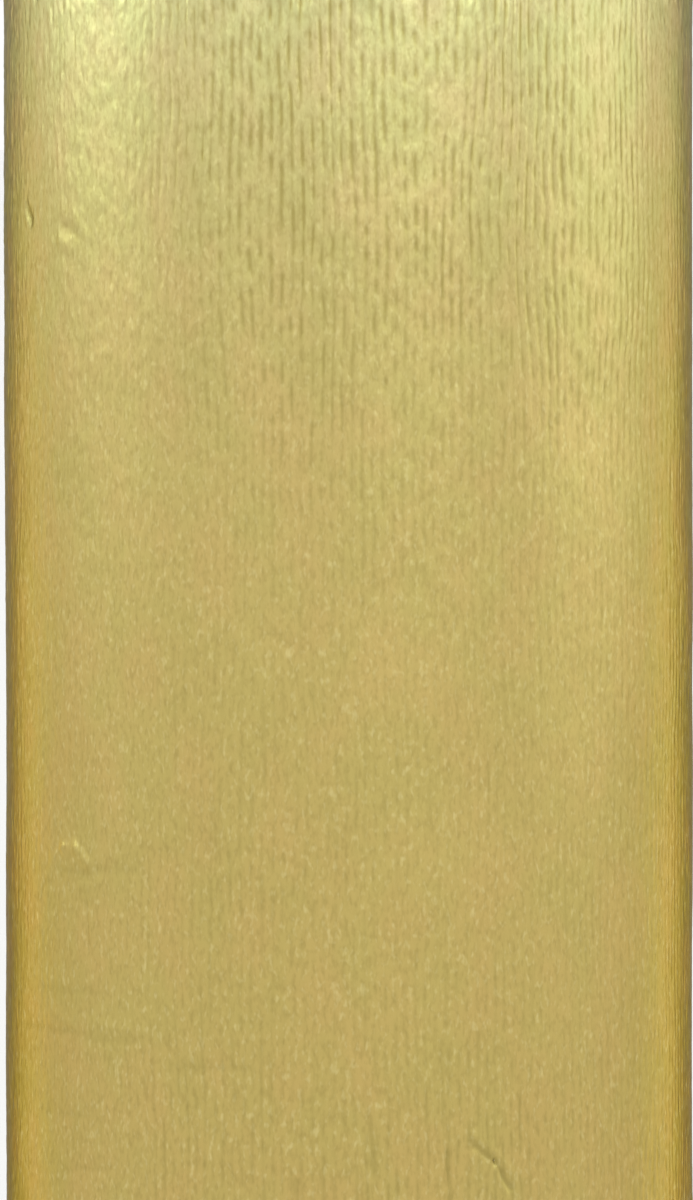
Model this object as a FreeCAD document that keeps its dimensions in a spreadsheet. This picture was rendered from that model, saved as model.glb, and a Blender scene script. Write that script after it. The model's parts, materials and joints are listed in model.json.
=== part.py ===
import FreeCAD, Part
import math
import os

import Sketcher

# A roll of crepe wrapping paper standing on one end. The tube's axis is +Z and the
# origin is on that axis, in the plane the roll stands on. Millimetres throughout.

# The driving dimensions: alias, value, meaning.
DIMENSIONS = [
    ("web_width", 500.0, "length of the roll, which is the width of the paper web"),
    ("sheet_thickness", 0.4, "crepe paper, measured over its ridges"),
    ("turn_pitch", 0.8, "radial step from one turn of paper to the next"),
    ("turn_count", 17, "whole turns of paper on the tube"),
    ("tube_bore", 30.0, "diameter of the hole through the cardboard tube"),
    ("inner_ply", 0.65, "thickness of the innermost cardboard ply"),
    ("middle_ply", 0.65, "thickness of the middle cardboard ply"),
    ("outer_ply", 0.65, "thickness of the outermost cardboard ply"),
    ("start_tape_thickness", 0.12, "double-sided tape under the web's first edge"),
    ("start_tape_width", 12.0, "the same tape, measured round the tube"),
    ("start_tape_inset", 15.0, "distance of the tape's ends from the tube's ends"),
    ("free_end_angle", 144.0, "part of the last half turn that lifts off the roll"),
    ("free_edge_azimuth", 140.0, "where the free edge lies, from +X towards +Y"),
    ("free_end_relief", 0.3, "how far the lifting stretch stops short of each end"),
    ("fold_gap", 0.2, "slit between neighbouring strips of the lifting stretch"),
    ("tab_thickness", 0.1, "clear closing tape"),
    ("tab_on_paper", 9.0, "closing tape on the free end, measured round the roll"),
    ("tab_on_roll", 10.0, "closing tape past the free edge, measured round the roll"),
    ("tab_height", 40.0, "closing tape, measured along the roll"),
    ("tab_inset", 60.0, "centre of an outer tab from the nearer end of the roll"),
    ("tab_clearance", 0.3, "air between a tab and the turn below it"),
]
STRIP_COUNT = 8


def make_sheet(doc):
    """The spreadsheet that holds every driving dimension under its own alias."""
    sheet = doc.addObject("Spreadsheet::Sheet", "Sizes")
    for row, (alias, value, meaning) in enumerate(DIMENSIONS, start=1):
        sheet.set(f"A{row}", meaning)
        sheet.set(f"B{row}", str(value))
        sheet.setAlias(f"B{row}", alias)
    doc.recompute()
    return sheet


def cell(alias):
    """The expression for one driving dimension."""
    return f"Sizes.{alias}"


# Expressions that several pieces share.
TUBE_RADIUS = f"({cell('tube_bore')} / 2 + {cell('inner_ply')} + {cell('middle_ply')} + {cell('outer_ply')})"
FIRST_RADIUS = f"({TUBE_RADIUS} + {cell('start_tape_thickness')})"
HALF_PITCH = f"({cell('turn_pitch')} / 2)"
LAST_RADIUS = f"({FIRST_RADIUS} + (2 * {cell('turn_count')} - 1) * {HALF_PITCH} + {cell('sheet_thickness')})"
TURN_BELOW_RADIUS = f"({LAST_RADIUS} - {HALF_PITCH})"
STRIP_ANGLE = f"({cell('free_end_angle')} / {STRIP_COUNT})"


def arc_degrees(length, radius):
    """The expression for the angle that an arc of this length covers at this radius."""
    return f"({length} / {radius} * 180 / pi)"


def origin_plane(body, role):
    """One of a body's own origin planes."""
    return next(f for f in body.Origin.OriginFeatures if f.Role == role)


def make_ply(doc, label, inner_radius, thickness):
    """One ply of the cardboard tube: a ring sketch padded to the roll's length."""
    body = doc.addObject("PartDesign::Body", label)
    sketch = body.newObject("Sketcher::SketchObject", label + "_ring")
    sketch.AttachmentSupport = (origin_plane(body, "XY_Plane"), [""])
    sketch.MapMode = "FlatFace"
    for name, radius in (("inside", inner_radius), ("outside", f"{inner_radius} + {thickness}")):
        circle = sketch.addGeometry(Part.Circle(FreeCAD.Vector(), FreeCAD.Vector(0, 0, 1), 10.0))
        sketch.addConstraint(Sketcher.Constraint("Coincident", circle, 3, -1, 1))
        size = sketch.addConstraint(Sketcher.Constraint("Radius", circle, 10.0))
        sketch.renameConstraint(size, name)
        sketch.setExpression(f"Constraints.{name}", radius)
    pad = body.newObject("PartDesign::Pad", label + "_length")
    pad.Profile = sketch
    pad.setExpression("Length", cell("web_width"))
    body.Label = label
    return body


def ring_sector(doc, label, inside, outside, start, sweep, bottom, height, offset):
    """A sector of a ring about the line that lies offset from the tube's axis, towards the
    free edge. Angles count from the free edge, the way that the paper is wound."""
    solid = doc.addObject("Part::Cylinder", label + "_sector")
    solid.setExpression("Radius", outside)
    solid.setExpression("Height", height)
    solid.setExpression("Angle", sweep)
    hole = doc.addObject("Part::Cylinder", label + "_hole")
    hole.setExpression("Radius", inside)
    hole.setExpression("Height", height)
    ring = doc.addObject("Part::Cut", label)
    ring.Base = solid
    ring.Tool = hole
    azimuth = cell("free_edge_azimuth")
    ring.setExpression("Placement.Base.x", f"{offset} * cos({azimuth})")
    ring.setExpression("Placement.Base.y", f"{offset} * sin({azimuth})")
    ring.setExpression("Placement.Base.z", bottom)
    ring.setExpression("Placement.Rotation.Angle", f"{azimuth} + {start}")
    ring.Label = label
    return ring


def make_start_tape(doc):
    """The tape that holds the web's first edge on the tube, under half a turn of paper."""
    sweep = arc_degrees(cell("start_tape_width"), TUBE_RADIUS)
    inset = cell("start_tape_inset")
    height = f"{cell('web_width')} - 2 * {inset}"
    return ring_sector(doc, "start_tape", TUBE_RADIUS, FIRST_RADIUS, "0", sweep, inset, height, "0")


def make_free_end(doc):
    """The lifting stretch of the web: a row of narrow strips along the last half turn."""
    inside = f"{LAST_RADIUS} - {cell('sheet_thickness')}"
    slit = arc_degrees(cell("fold_gap"), LAST_RADIUS)
    relief = cell("free_end_relief")
    height = f"{cell('web_width')} - 2 * {relief}"
    strips = []
    for index in range(STRIP_COUNT):
        start = f"({index} * {STRIP_ANGLE} - {cell('free_end_angle')} + {slit} / 2)"
        sweep = f"{STRIP_ANGLE} - {slit}"
        label = f"free_end_{index + 1}"
        strips.append(ring_sector(doc, label, inside, LAST_RADIUS, start, sweep, relief, height, HALF_PITCH))
    return strips


def make_closing_tapes(doc):
    """Three tabs of clear tape along the free edge: each lies on the last strip, steps down
    past the edge and goes on just above the turn below."""
    thick = cell("tab_thickness")
    on_paper = arc_degrees(cell("tab_on_paper"), LAST_RADIUS)
    on_roll = arc_degrees(cell("tab_on_roll"), LAST_RADIUS)
    step = arc_degrees(thick, LAST_RADIUS)
    low = f"({TURN_BELOW_RADIUS} + {cell('tab_clearance')})"
    high = f"({LAST_RADIUS} + {HALF_PITCH} + {thick})"
    half = f"{cell('tab_height')} / 2"
    centres = [cell("tab_inset"), f"{cell('web_width')} / 2", f"{cell('web_width')} - {cell('tab_inset')}"]
    tabs = []
    for number, centre in enumerate(centres, start=1):
        name = f"tab_{number}"
        bottom = f"{centre} - {half}"
        height = cell("tab_height")
        upper = ring_sector(doc, name + "_upper", LAST_RADIUS, f"{LAST_RADIUS} + {thick}",
                            f"(-{on_paper})", on_paper, bottom, height, HALF_PITCH)
        drop = ring_sector(doc, name + "_drop", low, high, "0", step, bottom, height, "0")
        lower = ring_sector(doc, name + "_lower", low, f"{low} + {thick}",
                            "0", on_roll, bottom, height, "0")
        tab = doc.addObject("Part::MultiFuse", name)
        tab.Shapes = [upper, drop, lower]
        tabs.append(tab)
    group = doc.addObject("Part::Compound", "closing_tapes")
    group.Links = tabs
    group.Label = "closing_tapes"
    return group


def half_turn(centre_x, radius, first_angle, sweep):
    """An arc of the spiral, in the frame whose +X points at the free edge."""
    points = []
    for angle in (first_angle, first_angle + sweep / 2, first_angle + sweep):
        turn = math.radians(angle)
        points.append(FreeCAD.Vector(centre_x + radius * math.cos(turn), radius * math.sin(turn), 0))
    return Part.Arc(*points).toShape()


def make_winding(doc, sheet):
    """The paper on the tube, one sheet in half turns whose centres alternate, as far as the
    first fold line of the lifting stretch. No primitive makes a sheet of this spiral shape."""
    half_pitch = sheet.turn_pitch / 2
    tube_radius = sheet.tube_bore / 2 + sheet.inner_ply + sheet.middle_ply + sheet.outer_ply
    first_radius = tube_radius + sheet.start_tape_thickness
    last_radius = first_radius + (2 * sheet.turn_count - 1) * half_pitch + sheet.sheet_thickness
    slit = math.degrees(sheet.fold_gap / last_radius)
    inner_arcs = []
    outer_arcs = []
    for index in range(2 * int(sheet.turn_count)):
        odd = index % 2
        is_last = index == 2 * int(sheet.turn_count) - 1
        sweep = 180.0 - sheet.free_end_angle - slit / 2 if is_last else 180.0
        radius = first_radius + index * half_pitch
        inner_arcs.append(half_turn(odd * half_pitch, radius, 180.0 * odd, sweep))
        outer_arcs.append(half_turn(odd * half_pitch, radius + sheet.sheet_thickness, 180.0 * odd, sweep))
    first_edge = Part.LineSegment(outer_arcs[0].Vertexes[0].Point, inner_arcs[0].Vertexes[0].Point)
    last_edge = Part.LineSegment(inner_arcs[-1].Vertexes[-1].Point, outer_arcs[-1].Vertexes[-1].Point)
    edges = inner_arcs + [last_edge.toShape()] + outer_arcs[::-1] + [first_edge.toShape()]
    outline = Part.Wire(Part.__sortEdges__(edges))
    winding = doc.addObject("Part::Feature", "paper_winding")
    winding.Shape = Part.Face(outline).extrude(FreeCAD.Vector(0, 0, sheet.web_width))
    turn = FreeCAD.Rotation(FreeCAD.Vector(0, 0, 1), float(sheet.free_edge_azimuth))
    winding.Placement = FreeCAD.Placement(FreeCAD.Vector(), turn)
    winding.Label = "paper_winding"
    return winding


def check(doc, parts):
    """Stop if any object failed, or any sub-part has no sound shape."""
    for item in doc.Objects:
        if "Invalid" in item.State or "Error" in item.State:
            raise RuntimeError(f"{item.Name} did not compute: {item.State}")
    for part in parts:
        if part.Shape.isNull() or not part.Shape.isValid():
            raise RuntimeError(f"{part.Label} has no valid shape")
        if part.Shape.Volume <= 0:
            raise RuntimeError(f"{part.Label} has no volume")


def main():
    doc = FreeCAD.newDocument("wrapping_paper_roll")
    sheet = make_sheet(doc)
    bore_radius = f"{cell('tube_bore')} / 2"
    middle_radius = f"{bore_radius} + {cell('inner_ply')}"
    outer_radius = f"{middle_radius} + {cell('middle_ply')}"
    parts = [
        make_ply(doc, "core_inner_ply", bore_radius, cell("inner_ply")),
        make_ply(doc, "core_middle_ply", middle_radius, cell("middle_ply")),
        make_ply(doc, "core_outer_ply", outer_radius, cell("outer_ply")),
        make_start_tape(doc),
        make_winding(doc, sheet),
    ]
    parts += make_free_end(doc)
    parts.append(make_closing_tapes(doc))
    doc.recompute()
    check(doc, parts)
    os.makedirs("parts", exist_ok=True)
    for part in parts:
        part.Shape.exportStep(f"parts/{part.Label}.step")
        print(f"{part.Label}: {len(part.Shape.Solids)} solid(s), {part.Shape.Volume:.1f} mm3")


main()
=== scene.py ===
import math

import bpy
import numpy as np
from mathutils import Matrix, Vector
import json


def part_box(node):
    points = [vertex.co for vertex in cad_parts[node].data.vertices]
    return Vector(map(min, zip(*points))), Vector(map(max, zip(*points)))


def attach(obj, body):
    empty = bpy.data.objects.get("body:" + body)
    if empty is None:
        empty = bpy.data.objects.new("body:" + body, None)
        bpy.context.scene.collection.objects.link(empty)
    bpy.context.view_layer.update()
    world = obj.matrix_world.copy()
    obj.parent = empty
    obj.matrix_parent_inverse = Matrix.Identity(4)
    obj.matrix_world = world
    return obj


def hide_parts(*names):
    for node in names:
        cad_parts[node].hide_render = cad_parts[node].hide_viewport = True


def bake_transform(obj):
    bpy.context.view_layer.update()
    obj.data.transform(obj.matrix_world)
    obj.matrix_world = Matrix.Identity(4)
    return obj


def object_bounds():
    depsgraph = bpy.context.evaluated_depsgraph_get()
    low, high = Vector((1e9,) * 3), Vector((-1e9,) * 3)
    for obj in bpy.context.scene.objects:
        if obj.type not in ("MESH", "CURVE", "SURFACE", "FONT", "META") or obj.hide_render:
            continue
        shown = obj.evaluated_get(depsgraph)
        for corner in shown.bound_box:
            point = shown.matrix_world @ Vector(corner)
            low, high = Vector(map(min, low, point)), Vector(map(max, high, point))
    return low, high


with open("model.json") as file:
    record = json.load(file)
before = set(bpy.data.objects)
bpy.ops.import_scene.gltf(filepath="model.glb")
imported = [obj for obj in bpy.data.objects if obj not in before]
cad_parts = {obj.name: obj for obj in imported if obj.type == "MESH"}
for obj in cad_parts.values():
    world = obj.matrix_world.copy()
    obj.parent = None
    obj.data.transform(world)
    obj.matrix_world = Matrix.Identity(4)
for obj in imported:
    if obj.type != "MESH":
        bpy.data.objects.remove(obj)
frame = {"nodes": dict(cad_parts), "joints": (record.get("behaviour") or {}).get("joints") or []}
cad_low, cad_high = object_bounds()

MM = 0.001

# The paper web, as the frame winds it. Angles along the web are counted in degrees from its
# first edge on the tube; the free edge is at the end of the last turn.
TURN_PITCH = 0.8 * MM
SHEET = 0.4 * MM
TURNS = 17
START_TAPE = 0.12 * MM
FREE_EDGE_AZIMUTH = math.radians(140.0)
LENGTH = cad_high.z - cad_low.z
TUBE_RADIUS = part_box("core_outer_ply")[1].x
FIRST_RADIUS = TUBE_RADIUS + START_TAPE
STRIP_BODIES = [joint["child"] for joint in frame["joints"]]
STRIP_STEP = frame["joints"][0]["range_deg"][1]
WEB_END = TURNS * 360.0
FREE_START = WEB_END - STRIP_STEP * len(STRIP_BODIES)
LAST_RADIUS = FIRST_RADIUS + (TURNS - 0.5) * TURN_PITCH + SHEET

# The crepe. Ridges run along the roll, with a furrow between each two that is broken into
# dashes, one to each BREAK_LENGTH or so, which BREAK_SHIFT moves on by that share from one
# furrow to the next. Widths and strays are shares of RIDGE_PITCH, the furrows' own depths and
# the crown of a ridge shares of RIDGE_DEPTH.
RIDGE_PITCH = 0.88 * MM
RIDGE_DEPTH = 0.050 * MM
FURROW_WIDTH = 0.20
RIDGE_CROWN = 0.15
FURROW_MEAN, FURROW_SWING = 0.58, 0.80
FURROW_LEAST, FURROW_MOST = 0.12, 1.15
BREAK_LENGTH = 1.05 * MM
BREAK_SHIFT = 0.37
STRAY_SLOW, STRAY_QUICK = 0.55, 0.22
FLECK_DEPTH = 0.016 * MM
DENT_DEPTH = 0.05 * MM
SWELL_DEPTH = 0.09 * MM
CRINKLE_DEPTH = 0.038 * MM
CREASE_SWAY = 0.16 * MM
# CREASE_SHADE scales the painted shade that darkens the creases in the colour.
CREASE_SHADE = 4.0

# The sheet itself: where its outer face lies from the middle of its turn, and its inner face
# where that repeats some of the outer face's relief, or none.
PAPER_HALF = 0.10 * MM
PLAIN_INSIDE = -0.17 * MM

# The two cut ends: how far the edge waves outward and along the roll, how soon the waves die
# out, and over how much of the roll a painted highlight makes the paper paler towards them.
CURL_DEPTH = 0.05 * MM
CURL_REACH = 0.7 * MM
CUT_SLOW = 0.16 * MM
CUT_QUICK = 0.05 * MM
CUT_SHARE = 0.03
PAINTED_HIGHLIGHT_REACH = 24.0 * MM

# Where the ridges are deep: from here to the right, in degrees from the front's middle. Then
# what they lose, as (share, from, to): down the roll, in mm below the top end, and further to
# the right.
RIDGES_BEGIN = (-44.0, -16.0)
LOST_DOWN = (0.78, 12.0, 60.0)
LOST_RIGHT = (0.2, 30.0, 50.0)
LOST_AT_SIDE = (0.75, 52.0, 70.0)

# What is left of them everywhere, and what comes back low down on the front.
LEAST_RIDGES, MOST_RIDGES = 0.03, 1.15
LEFT_AT_SIDE = (0.07, -68.0, -48.0)
LEFT_ON_FRONT = (0.24, -50.0, -20.0)
BACK_LOW_DOWN = (0.16, 78.0, 104.0)
BACK_WITHIN = (25.0, 50.0)
RIDGE_PATCHES = 0.16

# The all-way creasing at the left: where it ends to the right, what it loses down the roll,
# and what there is of it everywhere.
CRINKLE_ENDS = (-46.0, -14.0)
CRINKLE_LOST_DOWN = (0.6, 18.0, 60.0)
LEAST_CRINKLE = 0.2


# ---------------------------------------------------------------- noise

class Noise:
    """Smooth random values between -1 and 1 on a plane, from a seeded lattice."""

    SIZE = 257

    def __init__(self, seed):
        self.grid = np.random.default_rng(seed).uniform(-1.0, 1.0, (self.SIZE, self.SIZE))

    def at(self, x, y):
        x0, y0 = np.floor(x), np.floor(y)
        fx, fy = x - x0, y - y0
        fx, fy = fx * fx * (3 - 2 * fx), fy * fy * (3 - 2 * fy)
        i, j = x0.astype(int) % self.SIZE, y0.astype(int) % self.SIZE
        k, m = (i + 1) % self.SIZE, (j + 1) % self.SIZE
        low = self.grid[i, j] * (1 - fx) + self.grid[k, j] * fx
        high = self.grid[i, m] * (1 - fx) + self.grid[k, m] * fx
        return low * (1 - fy) + high * fy

    def stripes(self, index, y):
        """Independent smooth values along y for each whole number index."""
        y0 = np.floor(y)
        fy = y - y0
        fy = fy * fy * (3 - 2 * fy)
        i, j = index.astype(int) % self.SIZE, y0.astype(int) % self.SIZE
        return self.grid[i, j] * (1 - fy) + self.grid[i, (j + 1) % self.SIZE] * fy


WANDER, SWAY, BREAKS, FLECKS, DENTS, SWELL, EDGE, CRINKLE = (Noise(seed) for seed in range(11, 19))


def cells(noise, along, height, width, tall):
    """Noise whose cells are this wide round the roll and this tall along it, in mm."""
    return noise.at(along / (width * MM), height / (tall * MM))


def smooth_step(value, low, high):
    """0 below low, 1 above high and an S-curve between."""
    part = np.clip((value - low) / (high - low), 0.0, 1.0)
    return part * part * (3 - 2 * part)


def gained(value, share, low, high):
    """Nothing below low and this share above high."""
    return share * smooth_step(value, low, high)


def kept(value, share, low, high):
    """1 below low, and 1 less this share above high."""
    return 1 - gained(value, share, low, high)


# ---------------------------------------------------------------- the web's path

def half_turn_radius(index):
    """Radius of the middle of the sheet in this half turn."""
    return FIRST_RADIUS + index * TURN_PITCH / 2 + SHEET / 2


HALF_TURNS = 2 * TURNS
HALF_TURN_LENGTHS = [math.pi * half_turn_radius(index) for index in range(HALF_TURNS)]
ARC_LENGTHS = np.concatenate([[0.0], np.cumsum(HALF_TURN_LENGTHS)])


def along_at(web_angle):
    """Length of web from the free edge back to this web angle."""
    index = np.clip(np.floor(np.asarray(web_angle) / 180.0), 0, HALF_TURNS - 1).astype(int)
    part = np.radians(web_angle - 180.0 * index) * half_turn_radius(index)
    return ARC_LENGTHS[-1] - (ARC_LENGTHS[index] + part)


def angle_at(along):
    """Web angle, in degrees, of a point this far along the web from the free edge."""
    run = ARC_LENGTHS[-1] - along
    index = np.clip(np.searchsorted(ARC_LENGTHS, run, side="right") - 1, 0, HALF_TURNS - 1)
    return 180.0 * index + np.degrees((run - ARC_LENGTHS[index]) / half_turn_radius(index))


def web_point(along, height, out):
    """Points of the wound web: along from the free edge, height above the base and out
    from the middle of the sheet."""
    angle = angle_at(along)
    index = np.clip(np.floor(angle / 180.0 - 1e-9), 0, HALF_TURNS - 1).astype(int)
    radius = half_turn_radius(index) + out
    turn = np.radians(angle) + FREE_EDGE_AZIMUTH
    centre = (index % 2) * TURN_PITCH / 2
    x = centre * math.cos(FREE_EDGE_AZIMUTH) + radius * np.cos(turn)
    y = centre * math.sin(FREE_EDGE_AZIMUTH) + radius * np.sin(turn)
    return np.stack([x, y, height], axis=-1)


FRONT_AZIMUTH = -90.0
FRONT_ALONG = float(along_at(WEB_END + FRONT_AZIMUTH - math.degrees(FREE_EDGE_AZIMUTH)))
FRONT_RADIUS = half_turn_radius(HALF_TURNS - 2)


def place(side, drop):
    """Where a mark on the front lies: degrees to the right of the front's middle, and
    millimetres below the top end. Returns along and height."""
    return FRONT_ALONG - math.radians(side) * FRONT_RADIUS, LENGTH - drop * MM


# ---------------------------------------------------------------- the crepe's relief

# Creases (positive depth) and small welts (negative): start and end, each as (side in degrees,
# drop in mm), then half width and depth in mm.
CREASES = [
    ((20.5, 98.0), (24.6, 99.6), 0.24, 0.22),
    ((24.6, 99.6), (27.2, 102.0), 0.24, 0.22),
    ((21.0, 97.6), (27.4, 100.6), 0.34, -0.12),
    ((-58.5, 74.6), (-55.0, 73.4), 0.30, -0.12),
    ((-55.0, 73.4), (-51.5, 73.3), 0.32, -0.15),
    ((-51.5, 73.3), (-48.0, 74.6), 0.30, -0.12),
    ((-56.5, 75.2), (-47.5, 75.6), 0.34, 0.08),
    ((-46.5, 75.0), (-37.5, 75.0), 0.34, 0.06),
    ((-62.0, 20.6), (-55.5, 20.9), 0.30, -0.05),
    ((-55.5, 20.9), (-50.0, 22.2), 0.32, -0.05),
    ((-54.5, 19.5), (-50.0, 20.4), 0.30, 0.07),
    ((-67.5, 18.0), (-65.5, 19.2), 0.42, 0.20),
    ((-68.5, 17.6), (-66.0, 17.4), 0.26, -0.07),
    ((-62.0, 85.5), (-44.0, 85.7), 0.28, 0.05),
    ((-70.0, 89.4), (-50.0, 89.4), 0.24, 0.08),
    ((-49.0, 89.7), (-37.0, 89.6), 0.24, 0.06),
    ((-60.0, 88.5), (-36.0, 88.7), 0.40, -0.05),
    ((-30.0, 91.7), (-16.0, 91.5), 0.28, 0.05),
    ((-60.0, 96.6), (-46.0, 96.3), 0.24, 0.07),
    ((-56.0, 101.3), (-42.0, 100.6), 0.28, 0.07),
    ((-8.7, 101.0), (-8.5, 105.0), 0.16, 0.13),
    ((0.3, 91.9), (1.0, 94.8), 0.17, 0.12),
    ((3.5, 95.4), (4.0, 101.9), 0.17, 0.13),
    ((15.2, 89.4), (15.6, 96.8), 0.17, 0.11),
    ((16.2, 98.6), (17.0, 104.0), 0.17, 0.13),
    ((-48.5, 78.0), (-48.2, 82.0), 0.17, 0.10),
    ((-22.5, 68.0), (-22.0, 74.0), 0.17, 0.10),
]


def creases(along, height):
    """Outward displacement from the marked creases and welts, and the painted shade that darkens the
    creases.
    """
    rise, shade = np.zeros_like(along), np.zeros_like(along)
    sway = CREASE_SWAY * cells(SWAY, along, height, 1.9, 2.2)
    for start, end, width, depth in CREASES:
        a, b = np.array(place(*start)), np.array(place(*end))
        run = b - a
        t = ((along - a[0]) * run[0] + (height - a[1]) * run[1]) / float(run @ run)
        held = np.clip(t, 0.0, 1.0)
        gap = np.hypot(along - a[0] - held * run[0], height - a[1] - held * run[1])
        fold = np.exp(-((gap + sway) / (width * MM)) ** 2)
        rise -= depth * MM * fold
        # Painted shade: the creases, not the welts, are darkened in the colour.
        shade += max(depth, 0.0) * CREASE_SHADE * fold
    return rise, shade


def side_and_drop(along, height):
    """Degrees to the right of the front's middle, and millimetres below the top end."""
    return np.degrees((FRONT_ALONG - along) / FRONT_RADIUS), (LENGTH - height) / MM


def strength(along, height):
    """How deep the crepe's ridges are: fullest towards the top on the right of the front,
    where the paper is least stretched, and flatter on the left and lower down."""
    side, drop = side_and_drop(along, height)
    full = smooth_step(side, *RIDGES_BEGIN) * kept(drop, *LOST_DOWN)
    full *= kept(side, *LOST_RIGHT) * kept(side, *LOST_AT_SIDE)
    low = LEAST_RIDGES + gained(side, *LEFT_AT_SIDE) + gained(side, *LEFT_ON_FRONT)
    low += gained(drop, *BACK_LOW_DOWN) * (1 - smooth_step(np.abs(side), *BACK_WITHIN))
    patch = RIDGE_PATCHES * cells(SWELL, along, height, 6, 9)
    return np.clip(np.maximum(full, low) + patch, LEAST_RIDGES, MOST_RIDGES)


def crinkle(along, height):
    """Finer creasing that runs every way, strongest at the top left of the front, where the
    ridges give out."""
    side, drop = side_and_drop(along, height)
    share = (1 - smooth_step(side, *CRINKLE_ENDS)) * kept(drop, *CRINKLE_LOST_DOWN)
    folds = np.abs(cells(CRINKLE, along, height, 0.55, 0.95))
    slant_along, slant_height = along + 0.6 * height, height - 0.4 * along
    tilted = CRINKLE.at(slant_along / (0.5 * MM), slant_height / (0.9 * MM) + 77)
    return (LEAST_CRINKLE + share) * CRINKLE_DEPTH * (folds + 0.6 * np.abs(tilted) - 0.5)


def wander(along, height):
    """How far, in ridge pitches, a ridge strays from a straight line."""
    slow = STRAY_SLOW * cells(WANDER, along, height, 7, 16)
    return slow + STRAY_QUICK * cells(SWAY, along, height, 2.3, 4.5)


def valleys(along, height, ridge, across):
    """Depth of the crepe's furrows, from 0 to about 1. ridge is the number of the nearest
    furrow and across the distance from its middle, in ridge pitches."""
    dashes = BREAKS.stripes(ridge, height / BREAK_LENGTH + BREAK_SHIFT * ridge)
    depth = np.clip(FURROW_MEAN + FURROW_SWING * dashes, FURROW_LEAST, FURROW_MOST)
    return depth * np.exp(-(across / FURROW_WIDTH) ** 2) * strength(along, height)


def relief(along, height, ridge, across):
    """Outward displacement of the crepe."""
    crown = RIDGE_CROWN * np.cos(2 * math.pi * across) * strength(along, height)
    ridges = -(valleys(along, height, ridge, across) + crown) * RIDGE_DEPTH
    flecks = FLECK_DEPTH * cells(FLECKS, along, height, 0.45, 0.9)
    dents = DENT_DEPTH * cells(DENTS, along, height, 5, 8)
    swell = SWELL_DEPTH * cells(SWELL, along, height, 19, 31)
    return ridges + flecks + dents + swell + crinkle(along, height)


def end_curl(along, height):
    """Extra waviness within a millimetre or so of the cut ends, outward."""
    near = np.exp(-np.minimum(LENGTH - height, height) / CURL_REACH)
    return near * CURL_DEPTH * cells(EDGE, along, height, 1.1, 2.0)


def cut_line(along, is_top):
    """How far the cut edge of the web wanders from its nominal height. Each end follows a row
    of the noise of its own."""
    row = np.full_like(along, 3.3 if is_top else 71.7)
    return CUT_SLOW * EDGE.at(along / (23 * MM), row) + CUT_QUICK * EDGE.at(along / (1.7 * MM), row + 40)


# ---------------------------------------------------------------- meshes

def new_object(name, vertices, faces, slots, face_slots):
    mesh = bpy.data.meshes.new(name)
    mesh.from_pydata(vertices, [], faces)
    for material in slots:
        mesh.materials.append(material)
    mesh.polygons.foreach_set("material_index", np.asarray(face_slots, dtype=np.int32))
    mesh.polygons.foreach_set("use_smooth", np.ones(len(mesh.polygons), dtype=bool))
    mesh.set_sharp_from_angle(angle=math.radians(75.0))
    mesh.update()
    piece = bpy.data.objects.new(name, mesh)
    bpy.context.scene.collection.objects.link(piece)
    return piece


def rows_between(bands):
    """Heights above the base, from (top, bottom, spacing) bands in mm below the top end."""
    heights = []
    for top, bottom, spacing in bands:
        count = max(1, round((bottom - top) / spacing))
        heights += [LENGTH - (top + (bottom - top) * i / count) * MM for i in range(count)]
    heights.append(LENGTH - bands[-1][1] * MM)
    return np.array(heights[::-1])


# Mesh columns for each ridge, as offsets from its furrow in ridge pitches.
FINE_OFFSETS = (-0.5, -0.27, -0.12, 0.0, 0.12, 0.27)
PLAIN_OFFSETS = (-0.5, -0.2, 0.0, 0.2)
ONE_COLUMN = (0.0,)
LEAST_COLUMN_GAP = 0.06 * MM
SEAM_FADE = 2.5 * MM


def columns_between(low, high, offsets):
    """Ridge numbers and offsets of the mesh columns from one place along the web to another,
    which both get a column of their own."""
    first, last = int(low / RIDGE_PITCH) - 1, int(high / RIDGE_PITCH) + 2
    marks = [(i + f) * RIDGE_PITCH for i in range(first, last) for f in offsets]
    inside = [mark for mark in marks if low + LEAST_COLUMN_GAP < mark < high - LEAST_COLUMN_GAP]
    return np.array([low] + inside + [high])


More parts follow.
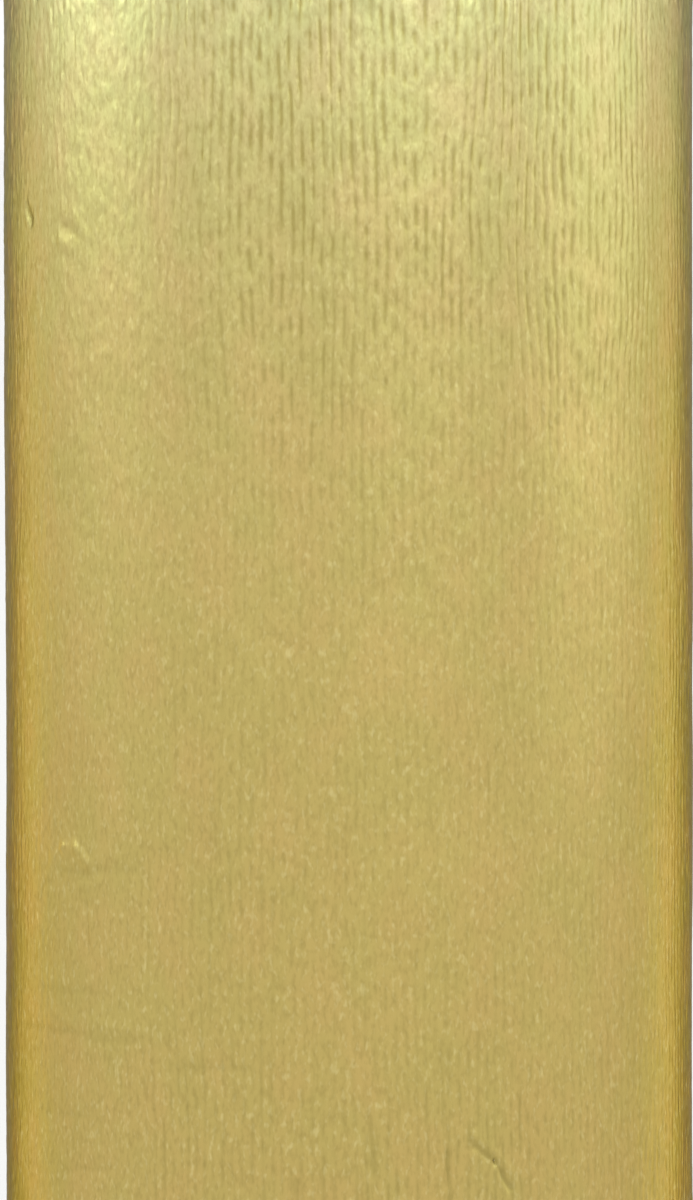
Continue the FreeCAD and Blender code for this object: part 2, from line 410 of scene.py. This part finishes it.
def web_strip(name, along_low, along_high, rows, inner_rows, offsets, inner_relief, crown=0.0):
    """A stretch of the web as a closed thin solid, gold outside and plain inside. inner_rows
    are some of rows. inner_relief is the share of the relief that the inside repeats. crown is
    how far its middle stands out of the roll's curve."""
    columns = columns_between(along_low, along_high, offsets)

    def surface(heights, out, share):
        mark, height = np.meshgrid(columns, heights)
        fade = smooth_step(np.minimum(mark - along_low, along_high - mark), 0.0, SEAM_FADE)
        along = mark - RIDGE_PITCH * wander(mark, height) * fade
        ridge = np.round(mark / RIDGE_PITCH)
        across = mark / RIDGE_PITCH - ridge
        fold, shade = creases(along, height)
        rise = share * (relief(along, height, ridge, across) + fold) + end_curl(along, height)
        part = (mark - along_low) / (along_high - along_low)
        rise += crown * 16 * (part * (1 - part)) ** 2
        top, bottom = cut_line(along, True), cut_line(along, False)
        level = height / LENGTH
        lifted = height + top * smooth_step(level, 1 - CUT_SHARE, 1.0)
        lifted = lifted + bottom * (1 - smooth_step(level, 0.0, CUT_SHARE))
        # Painted shade for the colour: darker in the furrows and creases.
        dark = shade + valleys(along, height, ridge, across)
        return web_point(along, np.clip(lifted, 0.0, None), out + rise), dark

    outer, furrows = surface(rows, PAPER_HALF, 1.0)
    inner, _ = surface(rows[inner_rows], -PAPER_HALF if inner_relief else PLAIN_INSIDE, inner_relief)
    width, high, low = len(columns), len(rows), len(inner_rows)
    vertices = np.concatenate([outer.reshape(-1, 3), inner.reshape(-1, 3)])
    base = width * high

    def quads(count, offset, flip):
        r, c = np.meshgrid(np.arange(count - 1), np.arange(width - 1), indexing="ij")
        a = offset + r * width + c
        found = np.stack([a, a + width, a + width + 1, a + 1], axis=-1).reshape(-1, 4)
        return found[:, ::-1] if flip else found

    def rim(outer_row, inner_row, flip):
        c = np.arange(width - 1)
        a, b = outer_row * width + c, base + inner_row * width + c
        found = np.stack([a, a + 1, b + 1, b], axis=-1)
        return found[:, ::-1] if flip else found

    def side(column, flip):
        walls = []
        for k in range(low - 1):
            run = [r * width + column for r in range(inner_rows[k], inner_rows[k + 1] + 1)]
            wall = run + [base + (k + 1) * width + column, base + k * width + column]
            walls.append(wall[::-1] if flip else wall)
        return walls

    face_sets = [
        (quads(high, 0, False).tolist(), 0),
        (quads(low, base, True).tolist(), 1),
        (rim(high - 1, low - 1, True).tolist(), 1),
        (rim(0, 0, False).tolist(), 1),
        (side(0, True), 1),
        (side(width - 1, False), 1),
    ]
    faces = [face for group, _ in face_sets for face in group]
    face_slots = [slot for group, slot in face_sets for _ in group]
    piece = new_object(name, vertices, faces, [GOLD, BACK], face_slots)
    _, heights = np.meshgrid(columns, rows)
    # Painted highlight: how much paler the gold is painted towards the cut ends.
    painted_highlight = np.exp(-np.minimum(heights, LENGTH - heights) / PAINTED_HIGHLIGHT_REACH)
    # The furrow attribute carries that painted shade, the pale one the painted highlight towards the cut
    # ends.
    for key, values in (("furrow", furrows), ("pale", painted_highlight)):
        shade = piece.data.attributes.new(key, "FLOAT", "POINT")
        shade.data.foreach_set("value", np.concatenate([values.ravel(), np.zeros(inner.size // 3)]))
    return piece


# ---------------------------------------------------------------- materials

class Shader:
    """A material's node tree, with short ways to add nodes and join them."""

    def __init__(self, name):
        self.material = bpy.data.materials.new(name)
        self.material.use_nodes = True
        self.tree = self.material.node_tree
        self.surface = self.tree.nodes["Principled BSDF"]
        self.place = self.add("ShaderNodeTexCoord").outputs["Object"]

    def add(self, kind, **settings):
        node = self.tree.nodes.new(kind)
        for key, value in settings.items():
            if key in node.inputs.keys():
                self.feed(node.inputs[key], value)
            else:
                setattr(node, key, value)
        return node

    def feed(self, socket, value):
        if isinstance(value, bpy.types.NodeSocket):
            self.tree.links.new(value, socket)
        else:
            socket.default_value = value

    def math(self, operation, *values):
        node = self.tree.nodes.new("ShaderNodeMath")
        node.operation = operation
        for socket, value in zip(node.inputs, values):
            self.feed(socket, value)
        return node.outputs[0]

    def noise(self, size, stretch=1.0, detail=2.0):
        """Noise with blobs of about this size in metres, stretched along the roll."""
        mapping = self.add("ShaderNodeMapping", Vector=self.place, Scale=(1.0, 1.0, 1.0 / stretch))
        found = self.add("ShaderNodeTexNoise", Vector=mapping.outputs[0], Scale=0.5 / size, Detail=detail)
        return found.outputs["Fac"]

    def ramp(self, factor, *stops):
        """A colour ramp through (position, colour) stops."""
        node = self.add("ShaderNodeValToRGB", Fac=factor)
        elements = node.color_ramp.elements
        while len(elements) < len(stops):
            elements.new(0.5)
        for element, (position, colour) in zip(elements, stops):
            element.position = position
            element.color = (*colour, 1.0)
        return node.outputs["Color"]

    def grey_ramp(self, factor, *stops):
        """A ramp of greys through (position, value) stops."""
        return self.ramp(factor, *((position, (value, value, value)) for position, value in stops))

    def blend(self, factor, low, high):
        """A colour between low and high."""
        node = self.add("ShaderNodeMix", data_type="RGBA")
        for socket, value in ((node.inputs[0], factor), (node.inputs[6], low), (node.inputs[7], high)):
            self.feed(socket, value)
        return node.outputs[2]

    def scaled(self, factor, low, high):
        """A number between low and high as factor goes from 0 to 1."""
        node = self.add("ShaderNodeMapRange")
        for key, value in (("Value", factor), ("To Min", low), ("To Max", high)):
            self.feed(node.inputs[key], value)
        return node.outputs[0]

    def bumps(self, height, distance, strength=1.0):
        node = self.add("ShaderNodeBump", Height=height, Distance=distance, Strength=strength)
        self.feed(self.surface.inputs["Normal"], node.outputs[0])

    def finish(self, **sockets):
        for name, value in sockets.items():
            self.feed(self.surface.inputs[name.replace("_", " ")], value)
        return self.material


PATCH_STOPS = (0.36, 0.50, 0.64)
GOLD_TONES = ((0.516, 0.402, 0.123), (0.530, 0.400, 0.125), (0.548, 0.398, 0.128))
# Painted highlight: paler tones towards the cut ends.
PAINTED_HIGHLIGHT_TONES = ((0.566, 0.524, 0.232), (0.594, 0.524, 0.242), (0.618, 0.514, 0.246))
# Painted shade where the fine bump is low.
DASH_SHADE_TONE = (0.34, 0.25, 0.07, 1.0)
# Painted glints on the raised flecks of the bump.
FLECK_GLINT_TONE = (0.80, 0.70, 0.33, 1.0)
# Painted shade in the furrows and creases.
PAINTED_SHADE_TONE = (0.34, 0.265, 0.075, 1.0)
EDGE_TINT = (0.07, 0.085, 0.19, 1.0)


def gold_crepe():
    """Metallic ink on crepe: satin gold with painted shade down in the furrows and creases, slightly
    greener and browner patches, fine dashes of painted shade where the bump is low, small bright
    flecks with painted glints, and a painted highlight that makes it paler towards the cut ends."""
    s = Shader("gold_crepe")
    patches = s.noise(2.2 * MM, stretch=1.6, detail=3.0)
    tone = s.ramp(patches, *zip(PATCH_STOPS, GOLD_TONES))
    # Painted highlight: paler towards the cut ends.
    pale = s.ramp(patches, *zip(PATCH_STOPS, PAINTED_HIGHLIGHT_TONES))
    tone = s.blend(s.add("ShaderNodeAttribute", attribute_name="pale").outputs["Fac"], tone, pale)
    dashes = s.noise(0.16 * MM, stretch=2.3, detail=1.5)
    # Painted shade: the dashes darken the gold where the bump is low.
    tone = s.blend(s.grey_ramp(dashes, (0.28, 0.34), (0.54, 0.0)), tone, DASH_SHADE_TONE)
    flecks = s.noise(0.20 * MM, stretch=1.9, detail=1.0)
    # Painted glints: the flecks lighten the gold where the bump is raised.
    tone = s.blend(s.grey_ramp(flecks, (0.56, 0.0), (0.80, 0.34)), tone, FLECK_GLINT_TONE)
    furrow = s.add("ShaderNodeAttribute", attribute_name="furrow").outputs["Fac"]
    # Painted shade: darker in the furrows and creases.
    tone = s.blend(s.scaled(furrow, 0.0, 0.74), tone, PAINTED_SHADE_TONE)
    s.bumps(s.math("ADD", dashes, s.math("MULTIPLY", flecks, 0.5)), 0.03 * MM, 0.6)
    rough = s.scaled(s.noise(0.5 * MM, stretch=2.0), 0.30, 0.40)
    return s.finish(Base_Color=tone, Metallic=1.0, Roughness=rough, Specular_Tint=EDGE_TINT)


def paper_back():
    """The unprinted inside and the cut edge of the crepe."""
    s = Shader("paper_back")
    fibres = s.noise(0.2 * MM, stretch=4.0, detail=4.0)
    cloud = s.noise(4.0 * MM, detail=3.0)
    tone = s.ramp(cloud, (0.3, (0.60, 0.50, 0.27)), (0.7, (0.68, 0.58, 0.34)))
    tone = s.blend(s.scaled(fibres, 0.0, 0.4), tone, (0.78, 0.70, 0.48, 1.0))
    s.bumps(fibres, 0.03 * MM, 0.5)
    return s.finish(Base_Color=tone, Roughness=s.scaled(fibres, 0.75, 0.9))


KRAFT_DARK, KRAFT_LIGHT = (0.30, 0.20, 0.115), (0.44, 0.31, 0.19)
KRAFT_FLECK = (0.20, 0.13, 0.07, 1.0)
SEAM_TONE = (0.10, 0.065, 0.04, 1.0)
SEAM_HALF_WIDTH = 0.012


def kraft(name, seam_pitch, seam_shift, light):
    """Spiral-wound kraft board: fibres, flecks and the groove of the ply's helical seam, whose
    half width is a share of its pitch. light scales the board's tone."""
    s = Shader(name)
    split = s.add("ShaderNodeSeparateXYZ", Vector=s.place)
    x, y, z = split.outputs
    turn = s.math("DIVIDE", s.math("ARCTAN2", y, x), 2 * math.pi)
    climb = s.math("ADD", s.math("DIVIDE", z, seam_pitch), s.math("ADD", turn, seam_shift))
    seam = s.math("ABSOLUTE", s.math("SUBTRACT", s.math("FRACT", climb), 0.5))
    groove = s.add("ShaderNodeMapRange", interpolation_type="SMOOTHSTEP")
    s.feed(groove.inputs["Value"], seam)
    s.feed(groove.inputs["From Max"], SEAM_HALF_WIDTH)
    s.feed(groove.inputs["To Min"], 1.0)
    s.feed(groove.inputs["To Max"], 0.0)
    fibres = s.noise(0.35 * MM, stretch=0.5, detail=5.0)
    flecks = s.noise(0.9 * MM, detail=1.0)
    dark, pale = ([light * part for part in colour] for colour in (KRAFT_DARK, KRAFT_LIGHT))
    tone = s.ramp(fibres, (0.35, dark), (0.65, pale))
    tone = s.blend(s.grey_ramp(flecks, (0.66, 0.0), (0.72, 0.5)), tone, KRAFT_FLECK)
    tone = s.blend(groove.outputs[0], tone, SEAM_TONE)
    height = s.math("SUBTRACT", s.math("MULTIPLY", fibres, 0.25), groove.outputs[0])
    s.bumps(height, 0.2 * MM, 0.7)
    return s.finish(Base_Color=tone, Roughness=s.scaled(fibres, 0.8, 0.95))


def clear_tape():
    """Clear office tape: glossy, faintly yellow, with shallow ripples."""
    s = Shader("clear_tape")
    ripples = s.noise(1.6 * MM, stretch=0.6, detail=2.0)
    s.bumps(ripples, 0.05 * MM, 0.5)
    tone = s.ramp(ripples, (0.3, (0.80, 0.78, 0.70)), (0.7, (0.88, 0.86, 0.80)))
    return s.finish(Base_Color=tone, Roughness=s.scaled(ripples, 0.12, 0.24), Alpha=0.08)


def adhesive_tape():
    """Double-sided tape: matt, off-white, slightly mottled."""
    s = Shader("adhesive_tape")
    cloud = s.noise(1.2 * MM, detail=3.0)
    tone = s.ramp(cloud, (0.3, (0.62, 0.59, 0.50)), (0.7, (0.72, 0.70, 0.62)))
    s.bumps(cloud, 0.03 * MM, 0.4)
    return s.finish(Base_Color=tone, Roughness=s.scaled(cloud, 0.5, 0.7))


GOLD, BACK, CLEAR = gold_crepe(), paper_back(), clear_tape()

CAD_MATERIALS = {
    "core_inner_ply": kraft("kraft_inner", 74 * MM, 0.10, 1.0),
    "core_middle_ply": kraft("kraft_middle", 77 * MM, 0.43, 0.9),
    "core_outer_ply": kraft("kraft_outer", 80 * MM, 0.76, 1.05),
    "start_tape": adhesive_tape(),
}
for node, material in CAD_MATERIALS.items():
    mesh = frame["nodes"][node].data
    mesh.materials.clear()
    mesh.materials.append(material)


# ---------------------------------------------------------------- the paper

# The web angles where the outermost turn starts, and the half turn under the free end.
OUTER_START = WEB_END - 360.0
UNDER_START = WEB_END - 540.0
HALF_STRIP = STRIP_STEP / 2

# When the free end lies straight, a piece that bends across a fold line dips there by an eighth
# of its length times the fold's angle. A crown that it has at rest takes a fifth off that.
FOLD_DIP = LAST_RADIUS * math.radians(STRIP_STEP) ** 2 / 8
FOLD_CROWN = 0.20 * FOLD_DIP

# The share of the crepe's relief that the inside of the free end repeats.
SHOW_THROUGH = 0.7

# Rows of the meshes, as (top, bottom, spacing) bands in mm below the top end. The front view
# shows only the upper end, down to FINE_REACH.
LENGTH_MM = LENGTH / MM
FINE_REACH = 114
FRONT_ROWS = [(0, 1.5, 0.25), (1.5, FINE_REACH, 0.45), (FINE_REACH, LENGTH_MM - 10, 4.0),
              (LENGTH_MM - 10, LENGTH_MM, 1.0)]
BACK_ROWS = [(0, 2, 0.5), (2, FINE_REACH, 1.4), (FINE_REACH, LENGTH_MM - 2, 4.0),
             (LENGTH_MM - 2, LENGTH_MM, 0.5)]
UNDER_ROWS = [(0, 2, 0.5), (2, LENGTH_MM - 2, 3.1), (LENGTH_MM - 2, LENGTH_MM, 0.5)]
INNER_ROWS = [(0, 1, 0.5), (1, 9, 4.0), (9, LENGTH_MM - 9, 120.0), (LENGTH_MM - 9, LENGTH_MM - 1, 4.0),
              (LENGTH_MM - 1, LENGTH_MM, 0.5)]


def every(rows, step):
    """The numbers of every step-th row, with the last one."""
    picked = list(range(0, len(rows), step))
    return picked if picked[-1] == len(rows) - 1 else picked + [len(rows) - 1]


def make_outer_turn():
    """The fixed part of the outermost turn, which is all that the front view shows."""
    rows = rows_between(FRONT_ROWS)
    low, high = float(along_at(FREE_START - HALF_STRIP)), float(along_at(OUTER_START))
    piece = web_strip("crepe_outer_turn", low, high, rows, every(rows, 24), FINE_OFFSETS, 0.0)
    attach(piece, "roll")
    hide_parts("paper_winding")


def make_turn_under():
    """The half turn that shows when the free end lifts."""
    rows = rows_between(UNDER_ROWS)
    low, high = float(along_at(OUTER_START)), float(along_at(UNDER_START))
    piece = web_strip("crepe_under_free_end", low, high, rows, every(rows, 20), PLAIN_OFFSETS, 0.0)
    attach(piece, "roll")
    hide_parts("paper_winding")


def make_wound_turns():
    """The turns below, of which only the cut edges show at the two ends."""
    rows = rows_between(INNER_ROWS)
    low, high = float(along_at(UNDER_START)), float(along_at(0.0))
    piece = web_strip("crepe_wound_turns", low, high, rows, every(rows, 1), ONE_COLUMN, 0.0)
    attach(piece, "roll")
    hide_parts("paper_winding")


def make_free_end():
    """The lifting stretch: a piece across each fold line, and a last half strip that carries
    the free edge."""
    near, far = rows_between(FRONT_ROWS), rows_between(BACK_ROWS)
    for number, body in enumerate(STRIP_BODIES, start=1):
        fold = FREE_START + STRIP_STEP * (number - 1)
        low, high = float(along_at(fold + HALF_STRIP)), float(along_at(fold - HALF_STRIP))
        rows, step, offsets = (near, 3, FINE_OFFSETS) if number == 1 else (far, 1, PLAIN_OFFSETS)
        piece = web_strip(f"crepe_free_end_{number}", low, high, rows, every(rows, step), offsets,
                          SHOW_THROUGH, FOLD_CROWN)
        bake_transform(piece)
        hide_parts(body)
    edge = web_strip("crepe_free_edge", 0.0, float(along_at(WEB_END - HALF_STRIP)), far, every(far, 1),
                     PLAIN_OFFSETS, SHOW_THROUGH)
    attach(edge, STRIP_BODIES[-1])
    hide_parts(STRIP_BODIES[-1])


# The closing tapes, as the frame has them: how far each reaches round the roll on the free end
# and past its edge, its height and how far an outer one's middle is from the roll's end.
TAB_ON_PAPER = 9 * MM
TAB_ON_ROLL = 10 * MM
TAB_HEIGHT = 40 * MM
TAB_INSET = 60 * MM
TAB_THICKNESS = 0.06 * MM

# The tape steps down to the turn below between these distances past the free edge, and lies
# this far out of the middle of the paper under it.
TAB_STEP = (0.2 * MM, 2.6 * MM)
TAB_OUT = 0.27 * MM
TAB_RIPPLE = 0.02 * MM

# The teeth that the dispenser's blade leaves along the tape's two cut edges.
TOOTH_PITCH = 1.3 * MM
TOOTH_DEPTH = 1.2 * MM


def make_closing_tapes():
    """Three tabs of clear tape, half on the free end and half past its edge, cut on a
    toothed dispenser blade."""
    across = np.linspace(-TAB_ON_PAPER, TAB_ON_ROLL, 39)
    levels = np.linspace(-0.5, 0.5, 33)
    below = half_turn_radius(HALF_TURNS - 2)
    above = half_turn_radius(HALF_TURNS - 1)
    step = smooth_step(across, *TAB_STEP)
    centre = TURN_PITCH / 2 * (1 - step)
    radius = above + (below - above) * step
    turn = FREE_EDGE_AZIMUTH + across / above
    for number, height in enumerate((TAB_INSET, LENGTH / 2, LENGTH - TAB_INSET), start=1):
        mark, level = np.meshgrid(np.arange(len(across)), levels)
        saw = np.abs((across[mark] / TOOTH_PITCH) % 1.0 - 0.5) * TOOTH_DEPTH
        ripple = TAB_RIPPLE * DENTS.at(across[mark] / (2.5 * MM) + 9 * number, level * 14)
        out = radius[mark] + TAB_OUT + ripple
        points = np.stack([
            centre[mark] * math.cos(FREE_EDGE_AZIMUTH) + out * np.cos(turn[mark]),
            centre[mark] * math.sin(FREE_EDGE_AZIMUTH) + out * np.sin(turn[mark]),
            height + level * (TAB_HEIGHT - 2 * saw),
        ], axis=-1).reshape(-1, 3)
        width = len(across)
        r, c = np.meshgrid(np.arange(len(levels) - 1), np.arange(width - 1), indexing="ij")
        a = r * width + c
        faces = np.stack([a, a + 1, a + width + 1, a + width], axis=-1).reshape(-1, 4).tolist()
        piece = new_object(f"closing_tape_{number}", points, faces, [CLEAR], [0] * len(faces))
        shell = piece.modifiers.new("thickness", "SOLIDIFY")
        shell.thickness = TAB_THICKNESS
        shell.offset = 1.0
        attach(piece, STRIP_BODIES[-1])
        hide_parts("closing_tapes")


make_outer_turn()
make_turn_under()
make_wound_turns()
make_free_end()
make_closing_tapes()


# ---------------------------------------------------------------- studio

FRAME_WIDTH, FRAME_HEIGHT = 693, 1200
SENSOR_WIDTH = 36.0
VIEW_DISTANCE = 1.0
VIEW_ELEVATION = math.radians(3.2)

# The share of the picture's width that the roll fills, how much it leans in the picture, how
# far its axis is to the right of the picture's middle, and the part of half the picture's
# height that lies between the picture's upper edge and the roll's top end above it.
ROLL_SHARE = 0.9998
ROLL_LEAN = math.radians(-0.113)
ROLL_TO_RIGHT = 0.14 * MM
TOP_HIDDEN = 0.003

# Soft boxes: name, degrees round the roll from the front to the right, height of the middle
# above the floor, distance from the axis, width, height, watts and colour.
SOFT_BOXES = [
    ("left_box", -90.0, LENGTH + 0.09, 0.28, 0.22, 0.18, 0.27, (0.80, 1.0, 1.0)),
    ("right_box", 88.0, LENGTH + 0.06, 0.30, 0.26, 0.24, 0.15, (0.82, 1.0, 1.0)),
    ("left_front_box", -30.0, LENGTH + 0.10, 0.34, 0.16, 0.12, 0.13, (0.80, 1.0, 1.0)),
    ("right_front_box", 24.0, LENGTH + 0.08, 0.34, 0.30, 0.12, 0.21, (0.80, 1.0, 1.0)),
    ("left_rim_box", -136.0, LENGTH * 0.5, 0.60, 0.28, 0.52, 0.56, (1.0, 0.93, 0.85)),
    ("right_rim_box", 136.0, LENGTH * 0.5, 0.60, 0.28, 0.52, 0.76, (0.86, 0.89, 1.0)),
]
AIM_HEIGHT = LENGTH * 0.9
FLOOR_REACH = 30.0
FLOOR_TONE = (0.93, 0.93, 0.92, 1.0)


def make_camera():
    """Level with the roll's upper end, so close that the roll fills the picture's width and
    its top end lies just above the picture."""
    radius = LAST_RADIUS - TURN_PITCH / 4
    visible_height = 2 * radius / ROLL_SHARE * FRAME_HEIGHT / FRAME_WIDTH
    camera = bpy.data.cameras.new("camera")
    camera.sensor_width = SENSOR_WIDTH
    camera.lens = camera.sensor_width * VIEW_DISTANCE / visible_height
    reach = visible_height / 2 / VIEW_DISTANCE * (1 + TOP_HIDDEN)
    sine, cosine = math.sin(VIEW_ELEVATION), math.cos(VIEW_ELEVATION)
    drop = (reach * (VIEW_DISTANCE - radius * cosine) + radius * sine) / (cosine + reach * sine)
    target = Vector((-ROLL_TO_RIGHT, 0.0, LENGTH - drop))
    view = bpy.data.objects.new("camera", camera)
    view.location = target + VIEW_DISTANCE * Vector((0.0, -cosine, sine))
    tilt = Matrix.Rotation(math.radians(90.0) - VIEW_ELEVATION, 4, "X")
    view.rotation_euler = (tilt @ Matrix.Rotation(ROLL_LEAN, 4, "Z")).to_euler()
    bpy.context.scene.collection.objects.link(view)
    bpy.context.scene.camera = view


def make_light(name, azimuth, height, distance, width, tall, power, colour):
    """A soft box at this azimuth round the roll, counted from the front to the right."""
    lamp = bpy.data.lights.new(name, "AREA")
    lamp.shape = "RECTANGLE"
    lamp.size, lamp.size_y = width, tall
    lamp.energy = power
    lamp.color = colour
    side = math.radians(azimuth)
    box = bpy.data.objects.new(name, lamp)
    box.location = (distance * math.sin(side), -distance * math.cos(side), height)
    aim = Vector((0.0, 0.0, AIM_HEIGHT)) - box.location
    box.rotation_euler = aim.to_track_quat("-Z", "Y").to_euler()
    box.visible_camera = False
    bpy.context.scene.collection.objects.link(box)


def make_stage():
    floor_mesh = bpy.data.meshes.new("floor")
    corners = [(x * FLOOR_REACH, y * FLOOR_REACH, 0) for x, y in ((-1, -1), (1, -1), (1, 1), (-1, 1))]
    floor_mesh.from_pydata(corners, [], [(0, 1, 2, 3)])
    floor = bpy.data.objects.new("floor", floor_mesh)
    s = Shader("floor")
    floor_mesh.materials.append(s.finish(Base_Color=FLOOR_TONE, Roughness=0.8))
    bpy.context.scene.collection.objects.link(floor)
    world = bpy.data.worlds.new("studio")
    bpy.context.scene.world = world
    world.use_nodes = True
    sky = world.node_tree.nodes["Background"]
    sky.inputs["Color"].default_value = (1.0, 1.0, 1.0, 1.0)
    sky.inputs["Strength"].default_value = 1.0


make_camera()
for soft_box in SOFT_BOXES:
    make_light(*soft_box)
make_stage()
bpy.context.scene.view_settings.view_transform = "Standard"
